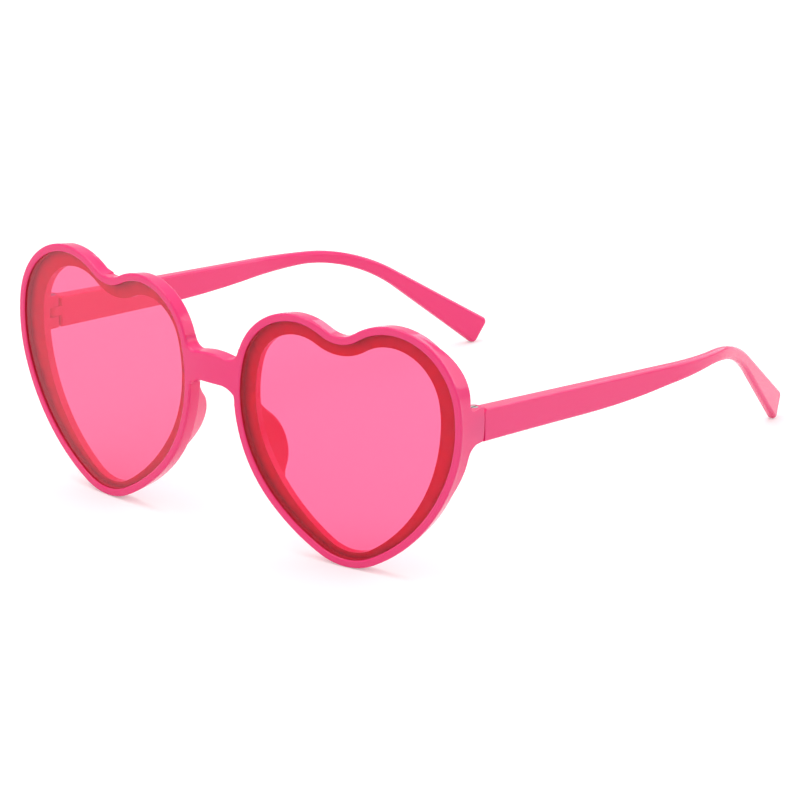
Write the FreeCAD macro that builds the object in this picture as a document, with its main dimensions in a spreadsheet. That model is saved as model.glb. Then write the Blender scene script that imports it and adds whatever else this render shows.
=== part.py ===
"""Heart shaped sunglasses: a front, two lenses, two folding temples and two hinge screws.

Frame: +Z up, +Y from the front to the ear ends, +X to the wearer's left. The origin lies on the floor
under the middle of the whole object. The left half is drawn flat, with X along the rim, Y into its depth
and Z up from the floor, and then turned about Z by the wrap angle. The right half is its mirror image.
"""
import FreeCAD, Part
import math
import os
import Sketcher
from FreeCAD import Placement, Rotation, Vector

doc = FreeCAD.newDocument("heart_sunglasses")
sheet = doc.addObject("Spreadsheet::Sheet", "Sheet")

SIZES = [
    ("wrap_angle", 6.1, "turn of each rim about the upright middle line, degrees"),
    ("heart_start", 8.65, "middle of the front to the heart opening in the lip"),
    ("heart_width", 60.16, "heart opening in the lip"),
    ("lip_width", 1.95, "front face of the rim"),
    ("lip_round", 0.4, "rounding of the lip's inner edge"),
    ("rim_round", 0.5, "rounding of the rim's outer edges"),
    ("rim_taper_width", 0.5, "how much the rim's wall draws in towards its back"),
    ("lens_recess", 0.6, "front face of the lip to the lens"),
    ("lens_thickness", 1.5, "lens"),
    ("lens_gap", 0.08, "clearance round the lens"),
    ("ledge_thickness", 1.9, "ledge behind the lens"),
    ("ledge_temple_width", 5.1, "ledge on the temple side"),
    ("ledge_nasal_width", 3.2, "ledge on the nose side"),
    ("ledge_top_width", 3.6, "ledge under the crowns"),
    ("ledge_tip_width", 1.3, "ledge at the tip"),
    ("bridge_height", 7.4, "bridge in the middle"),
    ("bridge_arch", 0.7, "rise of the bridge's top edge in the middle"),
    ("bridge_flare", 3.0, "hollow arcs from the bridge's top into the rims"),
    ("bridge_under_flare", 5.4, "hollow arcs from the bridge's underside into the rims"),
    ("bridge_round", 0.6, "rounding along the bridge"),
    ("pad_crown", 16.5, "bowed crest of a nose pad, top to bottom"),
    ("pad_blend", 12.0, "hollow arcs from the crest into the rim's back"),
    ("pad_sink", 0.3, "hollow arcs' ends below the rim's back"),
    ("pad_reach", 8.0, "crest of a nose pad behind the lens"),
    ("pad_lean", 0.38, "sideways lean of a nose pad for each unit of depth"),
    ("pad_outer", 1.1, "nose side of the pad, outside the lip's inner edge"),
    ("pad_inner", 1.3, "eye side of the pad, inside the lip's inner edge"),
    ("pad_round", 0.6, "rounding of a nose pad's crest"),
    ("ear_height", 2.85, "each hinge ear of the front"),
    ("tongue_height", 2.3, "hinge tongue of the temple"),
    ("tongue_gap", 0.1, "clearance above and below the tongue"),
    ("hinge_drop", 0.7, "rim's widest point to the middle of the hinge"),
    ("joint_depth", 9.6, "front face to the joint line on the end piece"),
    ("joint_gap", 0.32, "gap between end piece and temple"),
    ("joint_chamfer", 0.8, "cut off the temple's upper front corner"),
    ("pin_lead", 1.1, "hinge axis to the joint line"),
    ("outer_skin", 0.45, "wall left outside the tongue's slot"),
    ("knuckle_radius", 1.6, "ears and tongue round the hinge axis"),
    ("knuckle_gap", 0.15, "clearance round ears and tongue"),
    ("fairing_rise", 16.6, "hinge to the upper point of the end piece's flare"),
    ("fairing_fall", 14.4, "hinge to the lower point of the end piece's flare"),
    ("fairing_start", 1.6, "front face to the flare's two points"),
    ("fairing_step", 0.4, "flare's edge behind the rim"),
    ("fairing_rise_bow", 2.0, "backward bow of the flare's upper edge"),
    ("fairing_fall_bow", 0.8, "backward bow of the flare's lower edge"),
    ("fairing_fillet", 3.0, "hollow arc under the end piece"),
    ("fairing_over_fillet", 1.5, "hollow arc over the end piece"),
    ("screw_radius", 0.7, "shank of the hinge screw"),
    ("screw_head_rim", 0.3, "head of the hinge screw outside its shank"),
    ("screw_head_height", 0.6, "head of the hinge screw"),
    ("screw_slot", 0.35, "width and depth of the driver slot"),
    ("screw_end_cover", 0.5, "plastic left under the screw's end"),
    ("running_gap", 0.05, "radial clearance of the tongue on the screw"),
    ("thread_gap", 0.02, "radial clearance of the screw in the ears"),
    ("temple_thickness", 3.9, "temple at the hinge"),
    ("temple_tip_thickness", 2.4, "temple at the ear end"),
    ("temple_step", 0.6, "temple's top edge at the joint below the top of the hinge"),
    ("temple_slope_angle", 5.45, "fall of the temple's top edge, degrees"),
    ("ear_bend_run", 104.4, "joint to the corner of the top edge over the ear"),
    ("ear_bend_radius", 53.0, "bend of the top edge over the ear"),
    ("ear_angle", 33.7, "fall of the ear end's top edge, degrees"),
    ("ear_end_height", 7.6, "flared ear end, square to its top edge"),
    ("ear_end_round", 1.4, "rounded corners of the ear end"),
    ("ear_end_drop", 0.65, "ear end's sharp corner below the floor, so that its rounding touches it"),
    ("waist_height", 3.1, "temple where its underside starts to bend"),
    ("level_run", 48.0, "joint to the corner where the underside comes level"),
    ("level_radius", 400.0, "bend of the underside there"),
    ("under_bend_lead", 1.2, "corner of the underside before that of the top edge"),
    ("under_bend_radius", 46.0, "bend of the underside behind the ear"),
    ("hug_run", 86.4, "joint to the corner where the temple turns towards the head"),
    ("hug_radius", 85.0, "turn towards the head, seen from above"),
    ("hug_angle", 19.0, "turn towards the head, degrees"),
    ("temple_round", 0.45, "rounding along the temple's edges at the joint"),
    ("ear_round", 0.95, "rounding along the temple's edges over and behind the ear"),
]
for row, (alias, value, meaning) in enumerate(SIZES, 1):
    sheet.set("A%d" % row, meaning)
    sheet.set("B%d" % row, str(value))
    sheet.setAlias("B%d" % row, alias)
doc.recompute()

# The heart's arcs in parts of its width: reach from its nose end, height above its lowest point, radius.
HEART_SHAPE = {
    "outer_crown": (0.7156, 0.6533, 0.2806),
    "inner_crown": (0.2635, 0.6599, 0.2490),
    "outer_side": (None, 0.6150, 0.5402),
    "inner_side": (None, 0.5751, 0.5552),
    "outer_flank": (None, None, 0.7314),
    "inner_flank": (None, None, 0.8195),
    "tip": (0.4978, 0.2493, 0.2493),
    "notch": (None, None, 0.1646),
}
ARC_ORDER = (
    "notch",
    "outer_crown",
    "outer_side",
    "outer_flank",
    "tip",
    "inner_flank",
    "inner_side",
    "inner_crown",
)
# Heights of the bridge's and the nose pads' middles above the heart's lowest point, in parts of its width.
BRIDGE_PLACE = 0.6505
PAD_PLACE = 0.378


def size(alias):
    """A driving dimension from the sheet."""
    return float(sheet.get(alias))


def add(first, second, sign=1):
    """Sum of two lengths, each a share of some sizes on the sheet."""
    total = dict(first)
    for alias, share in second.items():
        total[alias] = total.get(alias, 0) + sign * share
    return total


def measure(length):
    """A length in millimetres."""
    return sum(share * size(alias) for alias, share in length.items())


def formula(length):
    """A length as an expression on the sheet."""
    return " + ".join("%.6f * Sheet.%s" % (share, alias) for alias, share in length.items())


def bind(item, **lengths):
    """Tie properties of an object to lengths on the sheet."""
    for name, length in lengths.items():
        item.setExpression(name, formula(length))
    return item


LEDGE_DEPTH = {"lens_recess": 1, "lens_thickness": 1}
RIM_DEPTH = add(LEDGE_DEPTH, {"ledge_thickness": 1})
HINGE_HEIGHT = {"ear_height": 2, "tongue_height": 1, "tongue_gap": 2}
KNUCKLE_ROOM = {"knuckle_radius": 1, "knuckle_gap": 1}
HEAD_RADIUS = {"screw_radius": 1, "screw_head_rim": 1}
LIP = {"lip_width": 1}
SAME = {}
HEART_MIDDLE = {"heart_start": 1, "heart_width": HEART_SHAPE["tip"][0]}
BRIDGE_ROOT = {"heart_start": 1, "lip_width": -0.25}
TEMPLE_LEAD = {"pin_lead": 2}


def lip_heart():
    """Radius and centre lengths of each arc of the lip's inner edge."""
    heart = {}
    for name, (reach, height, radius) in HEART_SHAPE.items():
        heart[name] = {"radius": {"heart_width": radius}}
        if reach is not None:
            heart[name]["reach"] = {"heart_start": 1, "heart_width": reach}
        if height is not None:
            heart[name]["height"] = {"lip_width": 1, "heart_width": height}
    return heart


def ledge_heart():
    """The ledge's inner edge: the lip's heart drawn in by the ledge's widths."""
    heart = lip_heart()
    top, tip = {"ledge_top_width": 1}, {"ledge_tip_width": 1}
    heart["tip"]["radius"] = add(heart["tip"]["radius"], top, -1)
    heart["tip"]["height"] = add(add(heart["tip"]["height"], top, -1), tip)
    heart["notch"]["radius"] = add(heart["notch"]["radius"], top)
    for half, side, outward in (("outer", "temple", 1), ("inner", "nasal", -1)):
        width = {"ledge_%s_width" % side: 1}
        crown, flank = heart[half + "_crown"], heart[half + "_flank"]
        crown["radius"] = add(crown["radius"], top, -1)
        crown["reach"] = add(crown["reach"], add(width, top, -1), -outward)
        heart[half + "_side"]["radius"] = add(heart[half + "_side"]["radius"], width, -1)
        flank["radius"] = add(add(flank["radius"], width, -0.5), tip, -0.5)
    return heart


def meeting(first, first_reach, second, second_reach, side):
    """Point at given distances from two centres, on the chosen side of the line between them."""
    run = second - first
    along = (first_reach ** 2 - second_reach ** 2 + run.Length ** 2) / (2 * run.Length)
    across = math.sqrt(first_reach ** 2 - along ** 2)
    unit = run / run.Length
    return first + unit * along + Vector(-unit.y, unit.x, 0) * across * side


def heart_circles(heart):
    """Centre and radius of each of the heart's arcs, each circle touching the next."""
    radius = {name: measure(heart[name]["radius"]) for name in ARC_ORDER}
    centre = {}
    for name in ("outer_crown", "inner_crown", "tip"):
        centre[name] = Vector(measure(heart[name]["reach"]), measure(heart[name]["height"]), 0)
    centre["notch"] = meeting(
        centre["outer_crown"],
        radius["outer_crown"] + radius["notch"],
        centre["inner_crown"],
        radius["inner_crown"] + radius["notch"],
        -1,
    )
    for half, outward in (("outer", 1), ("inner", -1)):
        crown, side, flank = half + "_crown", half + "_side", half + "_flank"
        drop = centre[crown].y - measure(heart[side]["height"])
        inset = math.sqrt((radius[side] - radius[crown]) ** 2 - drop ** 2)
        centre[side] = centre[crown] - Vector(outward * inset, drop, 0)
        to_side, to_tip = radius[flank] - radius[side], radius[flank] - radius["tip"]
        centre[flank] = meeting(centre[side], to_side, centre["tip"], to_tip, -outward)
    return centre, radius


def heart_arcs(heart, grow):
    """The outline's eight tangent arcs in order, as (centre, radius, start angle, sweep)."""
    centre, radius = heart_circles(heart)

    def angle(start, end):
        return math.atan2(centre[end].y - centre[start].y, centre[end].x - centre[start].x)

    touches = [
        ("notch", "outer_crown"),
        ("outer_side", "outer_crown"),
        ("outer_flank", "outer_side"),
        ("outer_flank", "tip"),
        ("inner_flank", "tip"),
        ("inner_flank", "inner_side"),
        ("inner_side", "inner_crown"),
        ("notch", "inner_crown"),
    ]
    bounds = [angle(*pair) for pair in touches]
    arcs = []
    for index, name in enumerate(ARC_ORDER):
        start, end = bounds[index - 1], bounds[index]
        if name == "notch":
            arcs.append((centre[name], radius[name] - grow, start, (end - start) % (2 * math.pi)))
            continue
        if ARC_ORDER[index - 1] == "notch":
            start += math.pi
        if ARC_ORDER[(index + 1) % len(ARC_ORDER)] == "notch":
            end += math.pi
        sweep = (end - start) % (2 * math.pi) - 2 * math.pi
        arcs.append((centre[name], radius[name] + grow, start, sweep))
    return arcs


def heart_sketch(owner, name, heart, grow, depth):
    """A heart of tangent arcs on an upright plane at that depth, driven by the sheet."""
    if owner:
        sketch = owner.newObject("Sketcher::SketchObject", name)
        plane = [item for item in owner.Origin.OriginFeatures if item.Role == "XZ_Plane"][0]
        sketch.AttachmentSupport = [(plane, "")]
        sketch.MapMode = "FlatFace"
        sketch.AttachmentOffset = Placement(Vector(0, 0, -depth), Rotation())
    else:
        sketch = doc.addObject("Sketcher::SketchObject", name)
        sketch.Placement = Placement(Vector(0, depth, 0), Rotation(Vector(1, 0, 0), 90))
    arcs = heart_arcs(heart, measure(grow))
    for centre, radius, start, sweep in arcs:
        low, high = min(start, start + sweep), max(start, start + sweep)
        circle = Part.Circle(centre, Vector(0, 0, 1), radius)
        sketch.addGeometry(Part.ArcOfCircle(circle, low, high), False)
    for index, (centre, radius, start, sweep) in enumerate(arcs):
        following = (index + 1) % len(arcs)
        end_vertex = 2 if sweep > 0 else 1
        start_vertex = 1 if arcs[following][3] > 0 else 2
        sketch.addConstraint(Sketcher.Constraint("Tangent", index, end_vertex, following, start_vertex))

    def drive(label, length, constraint):
        sketch.renameConstraint(sketch.addConstraint(constraint), label)
        sketch.setExpression("Constraints." + label, formula(length))

    for index, arc_name in enumerate(ARC_ORDER):
        radius = add(heart[arc_name]["radius"], grow, -1 if arc_name == "notch" else 1)
        drive(arc_name + "_radius", radius, Sketcher.Constraint("Radius", index, measure(radius)))
        for kind, key in (("DistanceX", "reach"), ("DistanceY", "height")):
            if key in heart[arc_name]:
                place = heart[arc_name][key]
                rule = Sketcher.Constraint(kind, -1, 1, index, 3, measure(place))
                drive(arc_name + "_" + key, place, rule)
    return sketch


def extruded(name, base, direction, length):
    """A block from a closed outline."""
    block = doc.addObject("Part::Extrusion", name)
    block.Base = base
    block.DirMode = "Custom"
    block.Dir = direction
    block.Solid = True
    return bind(block, LengthFwd=length)


def heart_prism(name, heart, grow, start, length):
    """A straight heart-shaped block from that depth."""
    outline = heart_sketch(None, name + "_outline", heart, grow, start)
    return extruded(name, outline, Vector(0, 1, 0), length)


def outline_prism(name, edges, direction, length):
    """A block from an outline of lines and arcs."""
    profile = doc.addObject("Part::Feature", name + "_outline")
    profile.Shape = Part.Face(Part.Wire(Part.__sortEdges__(edges)))
    return extruded(name, profile, direction, length)


def line(start, end):
    return Part.LineSegment(start, end).toShape()


def arc(start, middle, end):
    return Part.Arc(start, middle, end).toShape()


def soft_corner(before, corner, after, radius):
    """Start, middle and end of the arc that rounds the corner between two lines."""
    first = (before - corner).normalize()
    second = (after - corner).normalize()
    half_angle = first.getAngle(second) / 2
    inward = (first + second).normalize()
    length = radius / math.tan(half_angle)
    middle = corner + inward * (radius / math.sin(half_angle) - radius)
    return corner + first * length, middle, corner + second * length


def hollow_corner(corner, radius, across, up):
    """Start, middle and end of the quarter arc that fills a corner of a level and an upright edge."""
    bend = radius * (1 - math.sqrt(0.5))
    start = corner - across * radius
    return start, corner - across * bend + up * bend, corner + up * radius


def joined(name, first, *others):
    """Several objects made one."""
    result = doc.addObject("Part::MultiFuse", name)
    result.Shapes = [first, *others]
    return result


def shared(name, first, second):
    """What two objects have in common."""
    result = doc.addObject("Part::MultiCommon", name)
    result.Shapes = [first, second]
    return result


def without(name, base, tool):
    """One object less another."""
    result = doc.addObject("Part::Cut", name)
    result.Base = base
    result.Tool = tool
    return result


def rounded(name, base, radius, wanted):
    """Round the edges of an object that the test picks."""
    doc.recompute()
    fillet = doc.addObject("Part::Fillet", name)
    fillet.Base = base
    numbered = enumerate(base.Shape.Edges, 1)
    fillet.Edges = [(number, *ends(radius, edge)) for number, edge in numbered if wanted(edge)]
    return fillet


def ends(radius, edge):
    """Radius of a rounding at both ends of an edge."""
    if callable(radius):
        return radius(edge.firstVertex().Point), radius(edge.lastVertex().Point)
    return radius, radius


def mirrored(name, source):
    """The right side's copy of a left side object."""
    copy = doc.addObject("Part::Mirroring", name)
    copy.Source = source
    copy.Normal = Vector(1, 0, 0)
    return copy


def box(name, corner, length, width, height):
    """A box from its low corner."""
    block = doc.addObject("Part::Box", name)
    block.Placement = Placement(corner, Rotation())
    return bind(block, Length=length, Width=width, Height=height)


def middle_tangent(edge):
    """Direction of an edge at its middle."""
    return edge.tangentAt((edge.FirstParameter + edge.LastParameter) / 2)


WRAP = Placement(Vector(), Rotation(Vector(0, 0, 1), size("wrap_angle")))
CENTRES, RADII = heart_circles(lip_heart())
FLARE_EDGE = add(LIP, {"rim_taper_width": 1}, -size("fairing_start") / measure(RIM_DEPTH))
OUTER_FACE = CENTRES["outer_side"].x + RADII["outer_side"] + measure(FLARE_EDGE)
PIN_INSET = measure(KNUCKLE_ROOM) + size("outer_skin")
PIN = Vector(OUTER_FACE - PIN_INSET, size("joint_depth") - size("pin_lead"), 0)
AXIS = WRAP.multVec(PIN)
HINGE_LOW = CENTRES["outer_side"].y - size("hinge_drop") - measure(HINGE_HEIGHT) / 2
HINGE_HIGH = HINGE_LOW + measure(HINGE_HEIGHT)
TEMPLE_TOP = HINGE_HIGH - size("temple_step")
TONGUE_LOW = HINGE_LOW + size("ear_height") + size("tongue_gap")
JOINT_FACE = size("joint_depth") + size("joint_gap")


def hinge_post(name, radius, bottom, height):
    """A cylinder on the hinge axis."""
    post = doc.addObject("Part::Cylinder", name)
    post.Placement = Placement(Vector(PIN.x, PIN.y, bottom), Rotation())
    return bind(post, Radius=radius, Height=height)


def rim():
    """One heart rim, drawing in towards its back, with rounded edges."""
    block = doc.addObject("Part::Loft", "rim_block")
    drawn_in = add(LIP, {"rim_taper_width": 1}, -1)
    block.Sections = [
        heart_sketch(None, "rim_front", lip_heart(), LIP, 0),
        heart_sketch(None, "rim_back", lip_heart(), drawn_in, measure(RIM_DEPTH)),
    ]
    block.Solid = True
    block.Ruled = True
    seat = heart_prism("lens_seat", lip_heart(), SAME, 0, LEDGE_DEPTH)
    ring = without("rim_with_seat", block, seat)
    doc.recompute()
    seat_edge = seat.Base.Shape
    near = size("lip_width") / 2
    flat = size("lip_round") / 10

    def on_front(edge):
        return edge.BoundBox.YMax < flat

    def on_back(edge):
        return edge.BoundBox.YMin > measure(RIM_DEPTH) - flat

    def inside(edge):
        return edge.distToShape(seat_edge)[0] < near

    def on_lip(edge):
        return on_front(edge) and inside(edge)

    def on_outside(edge):
        return on_back(edge) or on_front(edge) and not inside(edge)

    soft_lip = rounded("rim_soft_lip", ring, size("lip_round"), on_lip)
    return rounded("rim_soft", soft_lip, size("rim_round"), on_outside)


def fairing():
    """The end piece's flare: the rim's outer band carried back to the hinge inside a side outline."""
    wall = heart_prism("fairing_wall", lip_heart(), FLARE_EDGE, 0, {"joint_depth": 1})
    hollow = heart_prism("fairing_hollow", lip_heart(), SAME, 0, {"joint_depth": 1})
    band = without("fairing_band", wall, hollow)
    temple_side_start = measure(HEART_MIDDLE)
    start, joint = size("fairing_start"), size("joint_depth")
    back = measure(RIM_DEPTH) + size("fairing_step")
    half_way = (start + back) / 2

    def at(depth, height):
        return Vector(temple_side_start, depth, height)

    behind, up = Vector(0, -1, 0), Vector(0, 0, 1)
    top, bottom = HINGE_HIGH + size("fairing_rise"), HINGE_LOW - size("fairing_fall")
    under = hollow_corner(at(back, HINGE_LOW), size("fairing_fillet"), behind, -up)
    over = hollow_corner(at(back, HINGE_HIGH), size("fairing_over_fillet"), behind, up)
    fall_middle = at(half_way + size("fairing_fall_bow"), (bottom + under[2].z) / 2)
    rise_middle = at(half_way + size("fairing_rise_bow"), (top + over[2].z) / 2)
    edges = [
        arc(at(start, bottom), fall_middle, under[2]),
        arc(*under),
        line(under[0], at(joint, HINGE_LOW)),
        line(at(joint, HINGE_LOW), at(joint, HINGE_HIGH)),
        line(at(joint, HINGE_HIGH), over[0]),
        arc(*over),
        arc(over[2], rise_middle, at(start, top)),
        line(at(start, top), at(start, bottom)),
    ]
    side = outline_prism("fairing_side", edges, Vector(1, 0, 0), {"heart_width": 1})
    return shared("fairing", band, side)


def nose_pad():
    """A crescent fin that leans away from the nose: a leaning band inside a bowed side outline."""
    root, crest = measure(LEDGE_DEPTH), measure(LEDGE_DEPTH) + size("pad_reach")
    lean = Vector(size("pad_lean"), 1, 0)
    bands = []
    for name, grow in (("pad_nose_side", {"pad_outer": 1}), ("pad_eye_side", {"pad_inner": -1})):
        outline = heart_sketch(None, name + "_outline", lip_heart(), grow, root)
        bands.append(extruded(name, outline, lean, {"pad_reach": lean.Length}))
    middle = size("lip_width") + PAD_PLACE * size("heart_width")
    base, blend = measure(RIM_DEPTH) - size("pad_sink"), size("pad_blend")
    bow = crest - base
    radius = (size("pad_crown") ** 2 / 4 + bow ** 2) / (2 * bow)
    crown_centre = Vector(0, crest - radius, middle)
    reach = math.sqrt((radius + blend) ** 2 - (blend + radius - bow) ** 2)
    edges, meets, roots = [], [], []
    for side in (1, -1):
        centre = Vector(0, base + blend, middle + side * reach)
        foot = Vector(0, base, centre.z)
        towards = (crown_centre - centre).normalize()
        meet = centre + towards * blend
        halfway = centre + (towards + Vector(0, -1, 0)).normalize() * blend
        edges += [arc(meet, halfway, foot), line(foot, Vector(0, root, foot.z))]
        meets.append(meet)
        roots.append(Vector(0, root, foot.z))
    edges += [arc(meets[0], Vector(0, crest, middle), meets[1]), line(*roots)]
    nose_half = outline_prism("pad_side", edges, Vector(1, 0, 0), HEART_MIDDLE)
    pad = shared("pad_sharp", without("pad_band", *bands), nose_half)
    clear = measure(RIM_DEPTH)
    return rounded("nose_pad", pad, size("pad_round"), lambda edge: edge.BoundBox.YMax > clear)


def bridge():
    """The bridge: an arched outline with hollow corners inside a bowed strip seen from above."""
    middle = size("lip_width") + BRIDGE_PLACE * size("heart_width")
    top, bottom = middle + size("bridge_height") / 2, middle - size("bridge_height") / 2
    flare, under = size("bridge_flare"), size("bridge_under_flare")
    root = measure(BRIDGE_ROOT)
    blend = size("heart_start") - size("lip_width")
    span = root - flare
    arch_radius = (span ** 2 + size("bridge_arch") ** 2) / (2 * size("bridge_arch"))
    arch_centre = Vector(0, 0, top - arch_radius)
    edges = []
    meets = []
    for side in (1, -1):
        across, up = Vector(side, 0, 0), Vector(0, 0, 1)
        rise = math.sqrt((arch_radius + flare) ** 2 - span ** 2)
        centre = arch_centre + across * span + up * rise
        towards = (arch_centre - centre).normalize()
        meet, over_end = centre + towards * flare, centre + across * flare
        over = arc(meet, centre + (towards + across).normalize() * flare, over_end)
        below = hollow_corner(Vector(side * root, 0, bottom), under, across, -up)
        edges += [over, arc(*below), line(over_end, below[2])]
        meets.append(meet)
    edges.append(arc(meets[0], Vector(0, 0, top), meets[1]))
    edges.append(line(Vector(under - root, 0, bottom), Vector(root - under, 0, bottom)))
    deep = add(RIM_DEPTH, {"heart_start": 1})
    front_view = outline_prism("bridge_front_view", edges, Vector(0, 1, 0), deep)
    wrap = math.radians(size("wrap_angle"))

    def bowed(back):
        def at(across):
            return Vector(across, back + math.tan(wrap) * abs(across), 0)

        crest = Vector(0, at(blend).y - math.tan(wrap / 2) * blend, 0)
        bow = arc(at(-blend), crest, at(blend))
        return [line(at(-root), at(-blend)), bow, line(at(blend), at(root))]

    front_line, back_line = bowed(0), bowed(measure(RIM_DEPTH))
    edges = front_line + back_line
    for index in (0, -1):
        edges.append(line(*[bow[index].Vertexes[index].Point for bow in (front_line, back_line)]))
    strip = outline_prism("bridge_plan", edges, Vector(0, 0, 1), {"heart_width": 1})
    sharp = shared("bridge_sharp", front_view, strip)
    tiny = size("bridge_round") / 4
    return rounded("bridge", sharp, size("bridge_round"), lambda edge: edge.BoundBox.XLength > tiny)


def front_half():
    """The left half of the front, still flat, with the ears for the hinge and the lens opening."""
    ear_post = hinge_post("ear_post", {"knuckle_radius": 1}, HINGE_LOW, HINGE_HEIGHT)
    ear_block = box(
        "ear_block",
        Vector(PIN.x - size("knuckle_radius"), measure(LEDGE_DEPTH), HINGE_LOW),
        {"knuckle_radius": 2, "knuckle_gap": -2},
        add({"joint_depth": 1, "pin_lead": -1}, LEDGE_DEPTH, -1),
        HINGE_HEIGHT,
    )
    solid = joined("half_solid", rim(), fairing(), ear_post, ear_block, nose_pad())
    slot_reach = PIN.x - 2 * measure(KNUCKLE_ROOM)
    slot_start = measure(RIM_DEPTH) + size("knuckle_gap")
    slot = box(
        "tongue_slot",
        Vector(slot_reach, slot_start, TONGUE_LOW - size("tongue_gap")),
        {"knuckle_radius": 3, "knuckle_gap": 3},
        {"joint_depth": 2},
        {"tongue_height": 1, "tongue_gap": 2},
    )
    hole_low, head_low = HINGE_LOW + size("screw_end_cover"), HINGE_HIGH - size("screw_head_height")
    screw_hole = hinge_post("screw_hole", {"screw_radius": 1, "thread_gap": 1}, hole_low, HINGE_HEIGHT)
    seat_radius = add(HEAD_RADIUS, {"thread_gap": 1})
    head_seat = hinge_post("screw_head_seat", seat_radius, head_low, HINGE_HEIGHT)
    ahead = measure(RIM_DEPTH)
    opening = heart_prism("lens_opening", ledge_heart(), SAME, -ahead, add(RIM_DEPTH, RIM_DEPTH))
    seat_room = heart_prism("lens_room", lip_heart(), SAME, -ahead, add(RIM_DEPTH, LEDGE_DEPTH))
    cuts = joined("half_cuts", slot, screw_hole, head_seat, opening, seat_room)
    return without("front_half_flat", solid, cuts)


def temple_side(root):
    """The temple seen from the side, and its end's top corner: a level underside and a flared ear end."""
    slope = math.tan(math.radians(size("temple_slope_angle")))
    fall = math.radians(size("ear_angle"))
    lead = -measure(TEMPLE_LEAD)

    def at(run, height):
        return Vector(0, root.y + run, height)

    def top_at(run):
        return TEMPLE_TOP - slope * run

    top_corner = at(size("ear_bend_run"), top_at(size("ear_bend_run")))
    floor_line = -size("ear_end_drop")
    end_height = floor_line + size("ear_end_height") * math.cos(fall)
    end_run = size("ear_bend_run") + (top_corner.z - end_height) / math.tan(fall)
    top_end = at(end_run, end_height)
    low_end = at(end_run - size("ear_end_height") * math.sin(fall), floor_line)
    under_run = size("ear_bend_run") - size("under_bend_lead")
    waist_run = under_run - size("under_bend_radius") * math.tan(fall / 2)
    level = top_at(waist_run) - size("waist_height")
    level_corner, under_corner = at(size("level_run"), level), at(under_run, level)
    start, low_start = at(lead, top_at(lead)), at(lead, HINGE_LOW)
    bend = soft_corner(start, top_corner, top_end, size("ear_bend_radius"))
    level_bend = soft_corner(low_start, level_corner, under_corner, size("level_radius"))
    under = soft_corner(level_corner, under_corner, low_end, size("under_bend_radius"))
    spare = size("temple_thickness")
    past_top = top_end + (top_end - top_corner).normalize() * spare
    past_low = low_end + (low_end - under_corner).normalize() * spare
    edges = [
        line(start, bend[0]),
        arc(*bend),
        line(bend[2], past_top),
        line(past_top, past_low),
        line(past_low, under[2]),
        arc(*under),
        line(under[0], level_bend[2]),
        arc(*level_bend),
        line(level_bend[0], low_start),
        line(low_start, start),
    ]
    return edges, top_end


def temple_plan(root):
    """The temple seen from above: straight, then turned towards the head, thinner to its ear end."""
    turn = math.radians(size("hug_angle"))
    thin = size("temple_tip_thickness")
    outer_corner = root + Vector(0, size("hug_run"), 0)
    start = root - Vector(0, measure(TEMPLE_LEAD), 0)
    end = outer_corner + Vector(-math.sin(turn), math.cos(turn), 0) * size("ear_bend_run")
    inner_start = start - Vector(size("temple_thickness"), 0, 0)
    inner_corner = outer_corner - Vector(thin, thin * math.tan(turn / 2), 0)
    inner_end = end - Vector(math.cos(turn), math.sin(turn), 0) * thin
    outer = soft_corner(start, outer_corner, end, size("hug_radius"))
    inner = soft_corner(inner_start, inner_corner, inner_end, size("hug_radius") - thin)
    return [
        line(start, outer[0]),
        arc(*outer),
        line(outer[2], end),
        line(end, inner_end),
        line(inner_end, inner[2]),
        arc(*inner),
        line(inner[0], inner_start),
        line(inner_start, start),
    ]


def temple_bar(root):
    """The temple's bar with a square ear end and rounded edges."""
    side_edges, top_end = temple_side(root)
    across_all = {"heart_start": 2, "heart_width": 2}
    side = outline_prism("temple_side", side_edges, Vector(1, 0, 0), across_all)
    below = Vector(root.x, root.y, -size("ear_end_height"))
    plan = outline_prism("temple_plan", temple_plan(below), Vector(0, 0, 1), {"heart_width": 2})
    turn, fall = size("hug_angle"), size("ear_angle")
    inward = (top_end.y - root.y - size("hug_run")) * math.tan(math.radians(turn))
    trim_reach = {"ear_end_height": 4}
    wide = measure(trim_reach)
    end_trim = box("ear_end_trim", Vector(), trim_reach, trim_reach, trim_reach)
    lean = Rotation(Vector(0, 0, 1), turn) * Rotation(Vector(1, 0, 0), -fall)
    middle = Placement(Vector(-wide / 2, 0, -wide / 2), Rotation())
    end_trim.Placement = Placement(Vector(root.x - inward, top_end.y, top_end.z), lean) * middle
    sharp = without("temple_sharp", shared("temple_long", side, plan), end_trim)
    end_zone = top_end.y - size("ear_end_height")
    root_end = root.y - size("pin_lead")
    seam = size("temple_round") / 10

    def across(edge):
        direction = middle_tangent(edge)
        return edge.BoundBox.YLength > seam and abs(direction.x) > abs(direction.y)

    def at_end(edge):
        return across(edge) and edge.BoundBox.YMin > end_zone

    def lengthwise(edge):
        return edge.BoundBox.YLength > seam and not across(edge) and edge.BoundBox.YMax > root_end

    soft_end = rounded("temple_soft_end", sharp, size("ear_end_round"), at_end)

    def growing(point):
        share = min(max((point.y - root.y) / size("hug_run"), 0), 1)
        return size("temple_round") + (size("ear_round") - size("temple_round")) * share

    return rounded("temple_bar", soft_end, growing, lengthwise)


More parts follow.
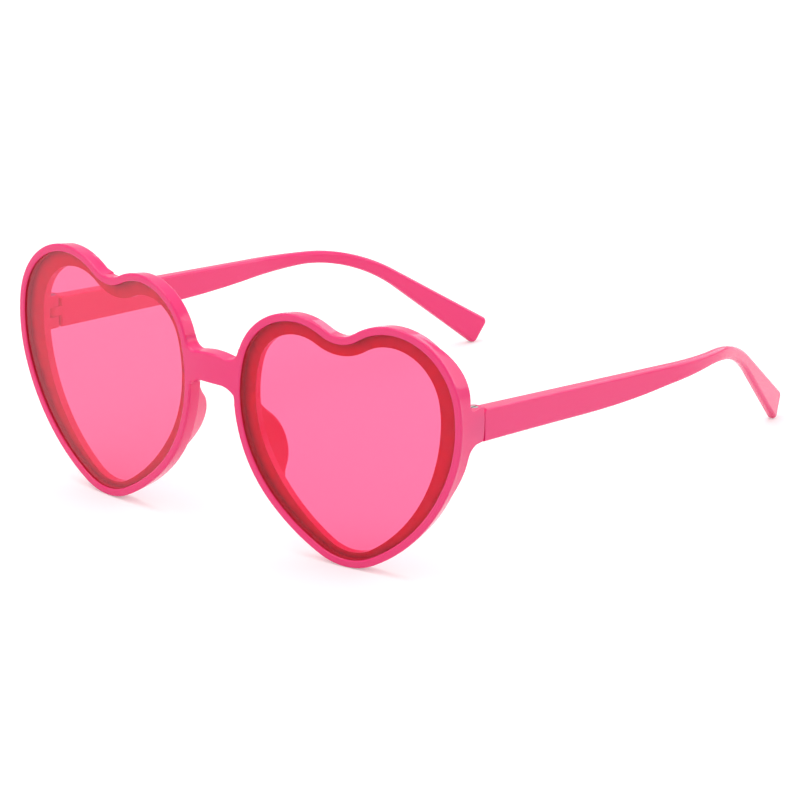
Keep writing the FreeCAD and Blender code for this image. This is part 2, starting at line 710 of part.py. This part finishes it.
def temple():
    """The left temple in place: a tapering bar with the hinge tongue at its front end."""
    root = WRAP.multVec(Vector(OUTER_FACE, JOINT_FACE, 0))
    bar = temple_bar(root)
    reach = {"temple_thickness": 4}
    side, tall = measure(reach), {"heart_width": 1}
    long = add(reach, reach)
    front_trim = box("joint_trim", Vector(PIN.x - side, JOINT_FACE - side, 0), long, reach, tall)
    ear_relief = hinge_post("ear_relief", KNUCKLE_ROOM, 0, tall)
    inner_relief = box("inner_relief", Vector(PIN.x - side, PIN.y, 0), reach, KNUCKLE_ROOM, tall)
    cut_reach = {"joint_chamfer": 3}
    chamfer = box("joint_chamfer_cut", Vector(), long, cut_reach, cut_reach)
    corner = Vector(PIN.x - side, JOINT_FACE, TEMPLE_TOP - size("joint_chamfer"))
    chamfer.Placement = Placement(corner, Rotation(Vector(0, 1, 0), Vector(0, 1, 1)))
    cuts = joined("temple_cuts", front_trim, ear_relief, inner_relief, chamfer)
    cuts.Placement = WRAP
    post = hinge_post("tongue_post", {"knuckle_radius": 1}, TONGUE_LOW, {"tongue_height": 1})
    neck = box(
        "tongue_neck",
        Vector(PIN.x - size("knuckle_radius"), PIN.y, TONGUE_LOW),
        {"knuckle_radius": 2},
        {"pin_lead": 1, "joint_gap": 1, "knuckle_radius": 1},
        {"tongue_height": 1},
    )
    hole = hinge_post("tongue_hole", {"screw_radius": 1, "running_gap": 1}, HINGE_LOW, HINGE_HEIGHT)
    tongue = without("tongue", joined("tongue_solid", post, neck), hole)
    tongue.Placement = WRAP
    return joined("left_temple", without("temple_bar_cut", bar, cuts), tongue)


def lens():
    """The left lens on the rim's ledge."""
    body = doc.addObject("PartDesign::Body", "left_lens")
    sketch = heart_sketch(body, "lens_outline", lip_heart(), {"lens_gap": -1}, size("lens_recess"))
    pad = body.newObject("PartDesign::Pad", "lens_sheet")
    pad.Profile = sketch
    pad.Reversed = True
    bind(pad, Length={"lens_thickness": 1})
    body.Placement = WRAP
    return body


def upright_sketch(body, name, corners):
    """A closed outline of straight lines on a body's upright plane."""
    sketch = body.newObject("Sketcher::SketchObject", name)
    plane = [item for item in body.Origin.OriginFeatures if item.Role == "XZ_Plane"][0]
    sketch.AttachmentSupport = [(plane, "")]
    sketch.MapMode = "FlatFace"
    for index, corner in enumerate(corners):
        start, end = corner, corners[(index + 1) % len(corners)]
        points = [Vector(measure(across), measure(height), 0) for across, height in (start, end)]
        sketch.addGeometry(Part.LineSegment(*points), False)
    for index, (across, height) in enumerate(corners):
        before = (index - 1) % len(corners)
        sketch.addConstraint(Sketcher.Constraint("Coincident", before, 2, index, 1))
        for kind, label, length in (("DistanceX", "across", across), ("DistanceY", "height", height)):
            number = sketch.addConstraint(Sketcher.Constraint(kind, -1, 1, index, 1, measure(length)))
            name_of = "%s_%d" % (label, index)
            sketch.renameConstraint(number, name_of)
            if length:
                sketch.setExpression("Constraints." + name_of, formula(length))
    return sketch


def screw():
    """The left hinge screw: a turned body with a driver slot across its head."""
    body = doc.addObject("PartDesign::Body", "left_hinge_screw")
    top = add(HINGE_HEIGHT, {"screw_end_cover": 1}, -1)
    neck = add(top, {"screw_head_height": 1}, -1)
    shank = {"screw_radius": 1}
    shank_corners = [(SAME, SAME), (shank, SAME), (shank, neck)]
    head_corners = [(HEAD_RADIUS, neck), (HEAD_RADIUS, top), (SAME, top)]
    turned = body.newObject("PartDesign::Revolution", "screw_turned")
    sketch = upright_sketch(body, "screw_profile", shank_corners + head_corners)
    turned.Profile = sketch
    turned.ReferenceAxis = (sketch, ["V_Axis"])
    turned.Angle = 360
    left_wall, right_wall = {"screw_slot": 0.5}, {"screw_slot": -0.5}
    deep, clear = add(top, {"screw_slot": 1}, -1), add(top, HEAD_RADIUS)
    slot = [(right_wall, deep), (left_wall, deep), (left_wall, clear), (right_wall, clear)]
    pocket = body.newObject("PartDesign::Pocket", "driver_slot")
    pocket.Profile = upright_sketch(body, "slot_profile", slot)
    pocket.Type = "ThroughAll"
    pocket.Midplane = True
    body.Placement = Placement(Vector(AXIS.x, AXIS.y, HINGE_LOW + size("screw_end_cover")), Rotation())
    return body


half = front_half()
half.Placement = WRAP
front = joined("front_frame", half, mirrored("right_half", half), bridge())
parts = [front]
for left in (lens(), temple(), screw()):
    parts += [left, mirrored(left.Name.replace("left", "right"), left)]
doc.recompute()

for part in parts:
    part.Label = part.Name
for item in doc.Objects:
    state = [word for word in item.State if word in ("Invalid", "Error")]
    assert not state, "%s failed: %s" % (item.Name, state)
for part in parts:
    assert not part.Shape.isNull() and part.Shape.isValid(), part.Name + " has no valid shape"
    assert len(part.Shape.Solids) == 1, "%s has %d solids" % (part.Name, len(part.Shape.Solids))

boxes = [part.Shape.optimalBoundingBox(True) for part in parts]
middle = (min(found.YMin for found in boxes) + max(found.YMax for found in boxes)) / 2
floor = min(found.ZMin for found in boxes)
os.makedirs("parts", exist_ok=True)
for part in parts:
    shape = part.Shape.copy()
    shape.translate(Vector(0, -middle, -floor))
    found = shape.optimalBoundingBox(True)
    low = "%.2f %.2f %.2f" % (found.XMin, found.YMin, found.ZMin)
    high = "%.2f %.2f %.2f" % (found.XMax, found.YMax, found.ZMax)
    print("%s volume %.1f box %s to %s" % (part.Name, shape.Volume, low, high))
    shape.exportStep("parts/%s.step" % part.Label)
height = (HINGE_LOW + HINGE_HIGH) / 2 - floor
print("hinge axis at %.4f %.4f, height %.2f" % (AXIS.x, AXIS.y - middle, height))
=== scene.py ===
"""Pink heart shaped sunglasses: looks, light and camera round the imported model."""
import math

import bmesh
import bpy
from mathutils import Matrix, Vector
from mathutils.kdtree import KDTree


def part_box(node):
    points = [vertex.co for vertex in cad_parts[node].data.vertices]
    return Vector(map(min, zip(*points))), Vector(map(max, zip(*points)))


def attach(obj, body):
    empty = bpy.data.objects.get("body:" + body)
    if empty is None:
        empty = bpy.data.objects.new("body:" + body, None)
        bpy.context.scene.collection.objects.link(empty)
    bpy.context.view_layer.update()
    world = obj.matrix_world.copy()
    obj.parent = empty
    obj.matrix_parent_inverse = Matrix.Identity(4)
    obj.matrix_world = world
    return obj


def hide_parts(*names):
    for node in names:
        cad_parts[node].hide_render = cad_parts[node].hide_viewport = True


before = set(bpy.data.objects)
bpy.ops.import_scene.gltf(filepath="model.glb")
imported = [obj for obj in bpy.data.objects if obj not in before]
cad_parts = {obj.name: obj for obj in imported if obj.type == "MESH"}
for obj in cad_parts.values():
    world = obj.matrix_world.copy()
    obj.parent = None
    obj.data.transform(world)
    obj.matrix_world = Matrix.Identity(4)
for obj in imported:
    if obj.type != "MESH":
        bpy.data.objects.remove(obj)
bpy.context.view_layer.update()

# Copies of the pieces: doubles nearer than this are merged, and edges past this angle in degrees stay sharp
MERGE_DISTANCE = 1e-6
SHARP_ANGLE = 28

# Each half of the front is flat and turned back by this many degrees. Carried on, the lips' faces meet here
WRAP_ANGLE = 6.1
LIPS_MEET = Vector((0, -0.08028, 0))

# A lens seat's ledge lies between these depths behind the lip's face, and its wall this close round the lens
LEDGE_DEPTH = (0.0018, 0.0024)
SEAT_MARGIN = 0.0003

# A ledge looks at least this much the lip's way, and a wall at most this much, as cosines
LOOKS_AHEAD = 0.95
LOOKS_ACROSS = 0.2

# The painted shade in a seat's corner: its width, the cuts in each ledge edge, and the points on each corner
# edge
SEAT_FADE = 0.0026
SEAT_CUTS = 5
CORNER_STEPS = 8

# The seat's place among the front's materials
SEAT_INDEX = 1

# Colours, linear
PINK = (0.93, 0.034, 0.200)
PINK_DEEP = (0.90, 0.029, 0.180)
PINK_PALE = (0.95, 0.044, 0.225)
SEAT_RED = (0.92, 0.032, 0.095)
# Painted shade: the dark red that the seats' walls and corners are painted, where the lip shades them
SEAT_SHADE_PAINT = (0.45, 0.016, 0.034)
LENS_TINT = (0.998, 0.410, 0.590)
STEEL = (0.74, 0.73, 0.72)
STEEL_DARK = (0.50, 0.49, 0.48)
WHITE = (1.0, 1.0, 1.0)
FLOOR_WHITE = (0.8, 0.8, 0.8)

# The floor: half its side, its own glow, and the rays that see the glow
FLOOR_REACH = 4
FLOOR_GLOW = 0.3
SEEN_RAYS = ("Is Camera Ray", "Is Glossy Ray", "Is Transmission Ray")

# The world's strength as light, and as the camera sees it
WORLD_LIGHT = 0.74
WORLD_SEEN = 1

# The photograph's camera: angles in degrees, places in metres, lens and sensor in millimetres
CAMERA_AZIMUTH = 40.55
CAMERA_ELEVATION = 18.3
CAMERA_DISTANCE = 0.9664
CAMERA_TARGET = Vector((0.0337, -0.05119, 0.03333))
CAMERA_LENS = 186.71
CAMERA_SENSOR = 36


class Value:
    """A shader socket that takes part in Python arithmetic."""

    def __init__(self, finish, socket):
        self.finish = finish
        self.socket = socket

    def math(self, operation, first, second):
        return self.finish.node("ShaderNodeMath", {"operation": operation}, {0: first, 1: second})

    def __add__(self, other):
        return self.math("ADD", self, other)

    def __radd__(self, other):
        return self.math("ADD", other, self)

    def __mul__(self, other):
        return self.math("MULTIPLY", self, other)

    def __rmul__(self, other):
        return self.math("MULTIPLY", other, self)


class Finish:
    """The nodes of a material or of the world."""

    def __init__(self, owner):
        self.owner = owner
        owner.use_nodes = True
        self.tree = owner.node_tree
        self.tree.nodes.clear()

    def node(self, kind, settings=None, inputs=None, output=0):
        """Add a node: its settings first, then the values or links of its sockets."""
        made = self.tree.nodes.new(kind)
        for key, value in (settings or {}).items():
            setattr(made, key, value)
        for key, value in (inputs or {}).items():
            socket = made.inputs[key]
            if isinstance(value, Value):
                self.tree.links.new(value.socket, socket)
            elif socket.type == "RGBA":
                socket.default_value = (*value, 1)
            else:
                socket.default_value = value
        return Value(self, made.outputs[output]) if made.outputs else None

    def noise(self, scale, detail):
        """Cloudy values from 0 to 1 over the piece."""
        place = self.node("ShaderNodeTexCoord", output="Object")
        return self.node("ShaderNodeTexNoise", inputs={"Vector": place, "Scale": scale, "Detail": detail})

    def mix(self, share, first, second):
        """A colour between two."""
        colours = {"Factor": share, 6: first, 7: second}
        return self.node("ShaderNodeMix", {"data_type": "RGBA"}, colours, output=2)

    def bump(self, height, strength, distance):
        """A normal that follows a height."""
        relief = {"Height": height, "Strength": strength, "Distance": distance}
        return self.node("ShaderNodeBump", inputs=relief)

    def surface(self, shader):
        """The material, with this shader on its surface."""
        self.node("ShaderNodeOutputMaterial", inputs={"Surface": shader})
        return self.owner


def moulded_plastic():
    """Glossy pink moulded plastic that lets a little light in: faint flow clouds and a fine ripple."""
    finish = Finish(bpy.data.materials.new("moulded_pink_plastic"))
    flow = finish.noise(scale=38, detail=4)
    cloud = finish.noise(scale=9, detail=2)
    ripple = finish.noise(scale=420, detail=2)
    haze = finish.noise(scale=1500, detail=3)
    deep = finish.mix(cloud, PINK_DEEP, PINK)
    pale = finish.mix(cloud, PINK, PINK_PALE)
    shader = finish.node("ShaderNodeBsdfPrincipled", inputs={
        "Base Color": finish.mix(flow, deep, pale),
        "Roughness": 0.06 + 0.04 * flow + 0.03 * haze,
        "Normal": finish.bump(ripple, strength=0.05, distance=0.0003),
        "IOR": 1.46,
        "Subsurface Weight": 0.22,
        "Subsurface Radius": (0.006, 0.0012, 0.002),
        "Subsurface Scale": 0.6,
    })
    return finish.surface(shader)


def shade_painted_seat():
    """The plastic behind the lens: redder, with painted shade in the corners and on the walls, and a patchy
    sheen.
    """
    finish = Finish(bpy.data.materials.new("painted_shadow_lens_seat"))
    blotches = finish.noise(scale=70, detail=4)
    ripple = finish.noise(scale=420, detail=2)
    corner = finish.node("ShaderNodeAttribute", {"attribute_name": "painted_corner_shade"}, output="Fac")
    # Painted shade: the corner value darkens the corners and walls where the lip shades them; the noise adds
    # faint blotches
    painted_darkness = 0.9 * corner * corner + 0.1 * blotches
    shader = finish.node("ShaderNodeBsdfPrincipled", inputs={
        "Base Color": finish.mix(painted_darkness, SEAT_RED, SEAT_SHADE_PAINT),
        "Roughness": 0.45 + 0.2 * blotches,
        "Normal": finish.bump(ripple, strength=0.08, distance=0.0003),
        "IOR": 1.45,
    })
    return finish.surface(shader)


def tinted_lens():
    """Clear pink sheet: what is behind shows through the tint, and the surface shines more at a slant."""
    finish = Finish(bpy.data.materials.new("tinted_pink_lens"))
    smear = finish.noise(scale=60, detail=3)
    through = finish.node("ShaderNodeBsdfTransparent", inputs={"Color": LENS_TINT})
    gloss = finish.node("ShaderNodeBsdfPrincipled", inputs={
        "Base Color": finish.mix(smear, PINK_DEEP, PINK),
        "Roughness": 0.03 + 0.05 * smear,
        "IOR": 4.0,
    })
    slant = finish.node("ShaderNodeLayerWeight", inputs={"Blend": 0.5}, output="Facing")
    shine = 0.02 + 0.8 * slant * slant + 0.01 * smear
    return finish.surface(finish.node("ShaderNodeMixShader", inputs={0: shine, 1: through, 2: gloss}))


def turned_steel():
    """Small bright screw: steel with darker patches and a fine grain."""
    finish = Finish(bpy.data.materials.new("turned_steel"))
    grain = finish.noise(scale=3000, detail=4)
    patch = finish.noise(scale=500, detail=2)
    shader = finish.node("ShaderNodeBsdfPrincipled", inputs={
        "Base Color": finish.mix(patch, STEEL_DARK, STEEL),
        "Metallic": 1.0,
        "Roughness": 0.28 + 0.2 * grain,
        "Normal": finish.bump(grain, strength=0.15, distance=0.00005),
    })
    return finish.surface(shader)


def white_floor():
    """White sweep: it glows to the eye and in reflections, and keeps the object's shadow."""
    finish = Finish(bpy.data.materials.new("white_sweep"))
    camera, glossy, through = [finish.node("ShaderNodeLightPath", output=ray) for ray in SEEN_RAYS]
    diffuse = finish.node("ShaderNodeBsdfDiffuse", inputs={"Color": FLOOR_WHITE})
    strength = (camera + glossy + through) * FLOOR_GLOW
    glow = finish.node("ShaderNodeEmission", inputs={"Color": WHITE, "Strength": strength})
    return finish.surface(finish.node("ShaderNodeAddShader", inputs={0: diffuse, 1: glow}))


def lip_direction(place):
    """The way that the lip looks on a place's half of the front."""
    wrap = math.radians(WRAP_ANGLE)
    return Vector((math.copysign(math.sin(wrap), place.x), -math.cos(wrap), 0))


def depth_behind_lip(place):
    """How far a place lies behind the lip's face."""
    return (LIPS_MEET - place).dot(lip_direction(place))


def faces_lens(place, normal, lens_boxes):
    """Whether a face there looks at the lens on its side from close round it."""
    low, high = lens_boxes[0 if place.x > 0 else 1]
    for value, least, most in zip(place, low, high):
        if not least - SEAT_MARGIN < value < most + SEAT_MARGIN:
            return False
    return normal.dot((low + high) / 2 - place) > 0


def seat_faces(work):
    """The faces of the ledges behind the lenses, and of the walls round the lenses."""
    lens_boxes = (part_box("left_lens"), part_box("right_lens"))
    ledges = []
    walls = []
    for face in work.faces:
        middle = face.calc_center_median()
        depth = depth_behind_lip(middle)
        facing = face.normal.dot(lip_direction(middle))
        if facing > LOOKS_AHEAD and LEDGE_DEPTH[0] < depth < LEDGE_DEPTH[1]:
            ledges.append(face)
        elif depth < LEDGE_DEPTH[0] and abs(facing) < LOOKS_ACROSS:
            if faces_lens(middle, face.normal, lens_boxes):
                walls.append(face)
    return ledges, walls


def seat_corners(ledges, walls):
    """A search tree of points along the edges where ledges and walls meet."""
    on_walls = {vertex for face in walls for vertex in face.verts}
    ledge_edges = [edge.verts for face in ledges for edge in face.edges]
    shares = [step / CORNER_STEPS for step in range(CORNER_STEPS)]
    places = []
    for start, end in ledge_edges:
        if start in on_walls and end in on_walls:
            places += [start.co.lerp(end.co, share) for share in shares]
    corners = KDTree(len(places))
    for index, place in enumerate(places):
        corners.insert(place, index)
    corners.balance()
    return corners


def mark_seats(work):
    """Give the lens seats their own material, and ledges fine enough for the painted shade to fade from the
    corners.
    """
    ledges, walls = seat_faces(work)
    for face in ledges + walls:
        face.material_index = SEAT_INDEX
    corners = seat_corners(ledges, walls)
    edges = list(dict.fromkeys(edge for face in ledges for edge in face.edges))
    bmesh.ops.subdivide_edges(work, edges=edges, cuts=SEAT_CUTS, use_grid_fill=True)
    # Painted shade: full on the walls round the lens, fading across each ledge from its corner
    shade = work.verts.layers.float.new("painted_corner_shade")
    for face in work.faces:
        if face.material_index == SEAT_INDEX:
            for vertex in face.verts:
                on_wall = depth_behind_lip(vertex.co) < LEDGE_DEPTH[0]
                distance = 0 if on_wall else corners.find(vertex.co)[2]
                vertex[shade] = max(0, 1 - distance / SEAT_FADE)


def smooth_copy(node, name, body, material, seat=None):
    """A merged copy of a node with even shading over its curved faces."""
    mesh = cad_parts[node].data.copy()
    mesh.materials.clear()
    work = bmesh.new()
    work.from_mesh(mesh)
    bmesh.ops.remove_doubles(work, verts=work.verts, dist=MERGE_DISTANCE)
    if seat:
        mark_seats(work)
    work.to_mesh(mesh)
    work.free()
    if mesh.has_custom_normals:
        mesh.attributes.remove(mesh.attributes["custom_normal"])
    mesh.materials.append(material)
    if seat:
        mesh.materials.append(seat)
    mesh.shade_smooth()
    mesh.set_sharp_from_angle(angle=math.radians(SHARP_ANGLE))
    piece = bpy.data.objects.new(name, mesh)
    bpy.context.scene.collection.objects.link(piece)
    weighted = piece.modifiers.new("even_shading", "WEIGHTED_NORMAL")
    weighted.keep_sharp = True
    seen = piece.evaluated_get(bpy.context.evaluated_depsgraph_get())
    shaded = bpy.data.meshes.new_from_object(seen)
    piece.modifiers.remove(weighted)
    piece.data = shaded
    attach(piece, body)
    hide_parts(node)


def lay_floor():
    """The white floor that the glasses stand on."""
    mesh = bpy.data.meshes.new("floor")
    signs = ((-1, -1), (1, -1), (1, 1), (-1, 1))
    mesh.from_pydata([(x * FLOOR_REACH, y * FLOOR_REACH, 0) for x, y in signs], [], [(0, 1, 2, 3)])
    mesh.materials.append(white_floor())
    floor = bpy.data.objects.new("floor", mesh)
    bpy.context.scene.collection.objects.link(floor)


def light_world():
    """Even light from all round, which the camera sees as plain white."""
    world = Finish(bpy.data.worlds.new("studio"))
    camera = world.node("ShaderNodeLightPath", output="Is Camera Ray")
    lit = world.node("ShaderNodeBackground", inputs={"Color": WHITE, "Strength": WORLD_LIGHT})
    seen = world.node("ShaderNodeBackground", inputs={"Color": WHITE, "Strength": WORLD_SEEN})
    chosen = world.node("ShaderNodeMixShader", inputs={0: camera, 1: lit, 2: seen})
    world.node("ShaderNodeOutputWorld", inputs={"Surface": chosen})
    bpy.context.scene.world = world.owner


def soft_lamp(name, place, target, power, size):
    """A rectangular lamp that shines at a target."""
    lamp = bpy.data.lights.new(name, "AREA")
    lamp.energy = power
    lamp.shape = "RECTANGLE"
    lamp.size, lamp.size_y = size
    holder = bpy.data.objects.new(name, lamp)
    holder.location = place
    holder.rotation_euler = (Vector(target) - Vector(place)).to_track_quat("-Z", "Y").to_euler()
    bpy.context.scene.collection.objects.link(holder)


def photo_camera():
    """The photograph's view: from the wearer's left, a little above."""
    azimuth = math.radians(CAMERA_AZIMUTH)
    elevation = math.radians(CAMERA_ELEVATION)
    level = math.cos(elevation)
    away = Vector((math.sin(azimuth) * level, -math.cos(azimuth) * level, math.sin(elevation)))
    data = bpy.data.cameras.new("photo_view")
    data.sensor_width = CAMERA_SENSOR
    data.lens = CAMERA_LENS
    camera = bpy.data.objects.new("photo_view", data)
    camera.location = CAMERA_TARGET + away * CAMERA_DISTANCE
    camera.rotation_euler = (-away).to_track_quat("-Z", "Y").to_euler()
    bpy.context.scene.collection.objects.link(camera)
    bpy.context.scene.camera = camera


plastic = moulded_plastic()
lens_sheet = tinted_lens()
steel = turned_steel()
smooth_copy("front_frame", "front", "front", plastic, shade_painted_seat())
for side in ("left", "right"):
    smooth_copy(side + "_temple", side + "_arm", side + "_temple_arm", plastic)
    smooth_copy(side + "_lens", side + "_lens_sheet", "front", lens_sheet)
    smooth_copy(side + "_hinge_screw", side + "_screw", "front", steel)

lay_floor()
light_world()
soft_lamp("overhead", place=(-0.15, -0.1, 0.9), target=(0, 0, 0), power=3.8, size=(0.9, 0.7))
soft_lamp("front_fill", place=(-0.5, -0.9, 0.5), target=(0, -0.05, 0.03), power=0.6, size=(0.5, 0.5))
soft_lamp("back_panel", place=(0.1, 1.0, 0.45), target=(0.03, -0.06, 0.04), power=2.6, size=(1.3, 0.5))
soft_lamp("side_panel", place=(0.32, 0.2, 0.2), target=(0.06, 0.05, 0.03), power=0.12, size=(0.2, 0.2))
photo_camera()
bpy.context.scene.view_settings.view_transform = "Standard"
